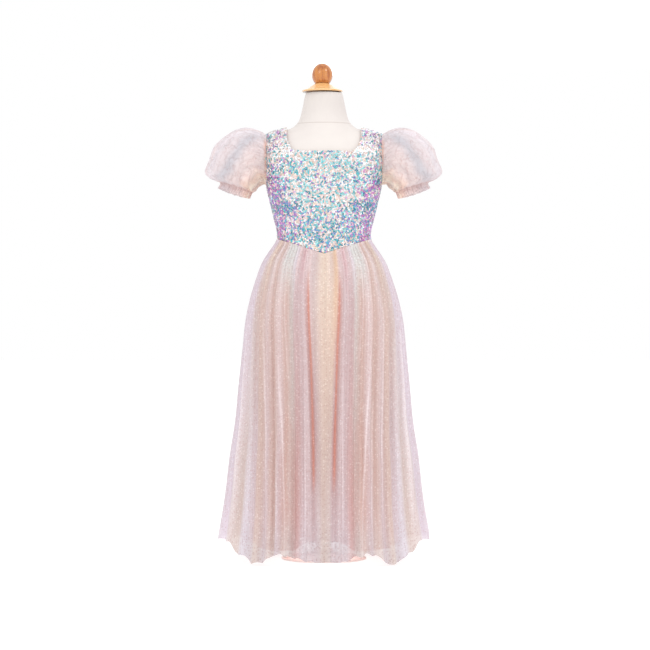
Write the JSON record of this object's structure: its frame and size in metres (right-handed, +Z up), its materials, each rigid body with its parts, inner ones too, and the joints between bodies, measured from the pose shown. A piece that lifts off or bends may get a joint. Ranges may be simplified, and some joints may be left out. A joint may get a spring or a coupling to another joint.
{
  "type": "dress-up dress on a dress form",
  "caption": "Child's dress-up dress with a sequinned bodice, puff sleeves and a long gathered tulle skirt, on a limbless dress form with a turned wooden neck cap and a round base.",
  "frame": {"origin": "middle of the base's underside, on the floor, under the form's pole", "axes": "+Z up along the pole, -Y towards the viewer in front of the dress, +X to the viewer's right"},
  "size_m": [0.5066, 0.379, 1.0498],
  "materials": {
    "bodice_front": "sequinned cloth",
    "bodice_back_left": "sequinned cloth",
    "bodice_back_right": "sequinned cloth",
    "sleeve_left": "sheer striped organza",
    "sleeve_right": "sheer striped organza",
    "skirt_tulle_front": "glitter tulle in pastel stripes",
    "skirt_tulle_back": "glitter tulle in pastel stripes",
    "skirt_lining_front": "satin lining",
    "skirt_lining_back": "satin lining",
    "form_body": "jersey stretched over a moulded body",
    "neck_cap": "turned and varnished",
    "neck_finial": "turned and varnished, glossy",
    "stand_pole": "white enamel",
    "stand_base": "white enamel"
  },
  "bodies": {
    "root": {"bodice_front": "bodice_front", "bodice_back_left": "bodice_back_left", "bodice_back_right": "bodice_back_right", "sleeve_left": "sleeve_left", "sleeve_right": "sleeve_right", "skirt_tulle_front": "skirt_tulle_front", "skirt_tulle_back": "skirt_tulle_back", "skirt_lining_front": "skirt_lining_front", "skirt_lining_back": "skirt_lining_back", "form_body": "form_body", "neck_cap": "neck_cap", "neck_finial": "neck_finial", "stand_pole": "stand_pole", "stand_base": "stand_base"}
  },
  "joints": []
}
